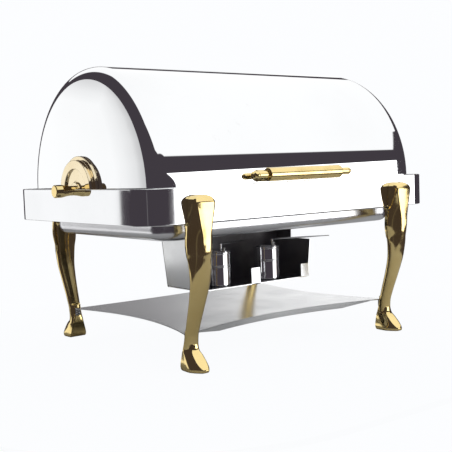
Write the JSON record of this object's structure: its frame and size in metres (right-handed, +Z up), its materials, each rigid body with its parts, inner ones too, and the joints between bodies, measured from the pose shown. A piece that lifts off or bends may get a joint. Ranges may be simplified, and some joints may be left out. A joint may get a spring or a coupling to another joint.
{
  "type": "chafing dish food warmer",
  "caption": "Roll-top chafing dish: half-cylinder lid on side pivots, rectangular frame band, water pan, food pan, cabriole legs, lower shelf and a burner tray.",
  "frame": {"origin": "on the floor under the centre of the warmer", "axes": "+Z up, X along the long side, -Y towards the person who serves and opens the lid"},
  "size_m": [0.66, 0.4518, 0.4565],
  "materials": {
    "mirror_steel": "polished",
    "satin_steel": "satin",
    "gold": "polished",
    "gold_satin": "satin",
    "steel_fixing": "satin",
    "tin_metal": "satin",
    "rubber_black": "matte",
    "nylon_white": "matte"
  },
  "bodies": {
    "base": {"frame_band": "mirror_steel", "shelf": "mirror_steel", "water_pan": "satin_steel", "pan_surround": "satin_steel", "front_rail": "satin_steel", "end_ledge_left": "satin_steel", "end_ledge_right": "satin_steel", "pivot_bracket_left": "satin_steel", "pivot_bracket_right": "satin_steel", "pivot_pin_left": "steel_fixing", "pivot_pin_right": "steel_fixing", "leg_screws": "steel_fixing", "shelf_screws": "steel_fixing", "lid_bumpers": "rubber_black", "burner_tray": "mirror_steel", "tray_back": "mirror_steel", "leg_front_left": "gold", "leg_front_right": "gold", "leg_rear_left": "gold", "leg_rear_right": "gold", "side_knob_left": "gold", "side_knob_right": "gold"},
    "lid": {"lid_cover": "mirror_steel", "lid_end_left": "mirror_steel", "lid_end_right": "mirror_steel", "hinge_disc_left": "gold_satin", "hinge_disc_right": "gold_satin", "pivot_bush_left": "nylon_white", "pivot_bush_right": "nylon_white", "hinge_disc_screws": "steel_fixing", "handle_rod": "gold", "handle_grip": "gold", "handle_posts": "gold", "handle_screws": "steel_fixing"},
    "food_pan": {"food_pan": "satin_steel"},
    "burner_left": {"burner_cup_left": "mirror_steel", "fuel_tin_left": "tin_metal", "burner_cover_left": "mirror_steel", "snuffer_pin_left": "steel_fixing"},
    "snuffer_left": {"snuffer_lid_left": "mirror_steel", "snuffer_handle_left": "steel_fixing"},
    "burner_right": {"burner_cup_right": "mirror_steel", "fuel_tin_right": "tin_metal", "burner_cover_right": "mirror_steel", "snuffer_pin_right": "steel_fixing"},
    "snuffer_right": {"snuffer_lid_right": "mirror_steel", "snuffer_handle_right": "steel_fixing"}
  },
  "joints": [
    {"name": "lid_roll", "type": "hinge", "parent": "base", "child": "lid", "pos_m": [0, 0, 0.266], "axis": [-1, 0, 0], "range_deg": [0, 90]},
    {"name": "food_pan_lift", "type": "slide", "parent": "base", "child": "food_pan", "axis": [0, 0, 1], "range_m": [0, 0.07]},
    {"name": "burner_left_pull", "type": "slide", "parent": "base", "child": "burner_left", "axis": [0, -1, 0], "range_m": [0, 0.15]},
    {"name": "burner_right_pull", "type": "slide", "parent": "base", "child": "burner_right", "axis": [0, -1, 0], "range_m": [0, 0.15]},
    {"name": "snuffer_left_swing", "type": "hinge", "parent": "burner_left", "child": "snuffer_left", "pos_m": [-0.055, -0.0645, 0.1535], "axis": [0, 0, -1], "range_deg": [0, 100]},
    {"name": "snuffer_right_swing", "type": "hinge", "parent": "burner_right", "child": "snuffer_right", "pos_m": [0.055, -0.0645, 0.1535], "axis": [0, 0, -1], "range_deg": [0, 100]}
  ]
}
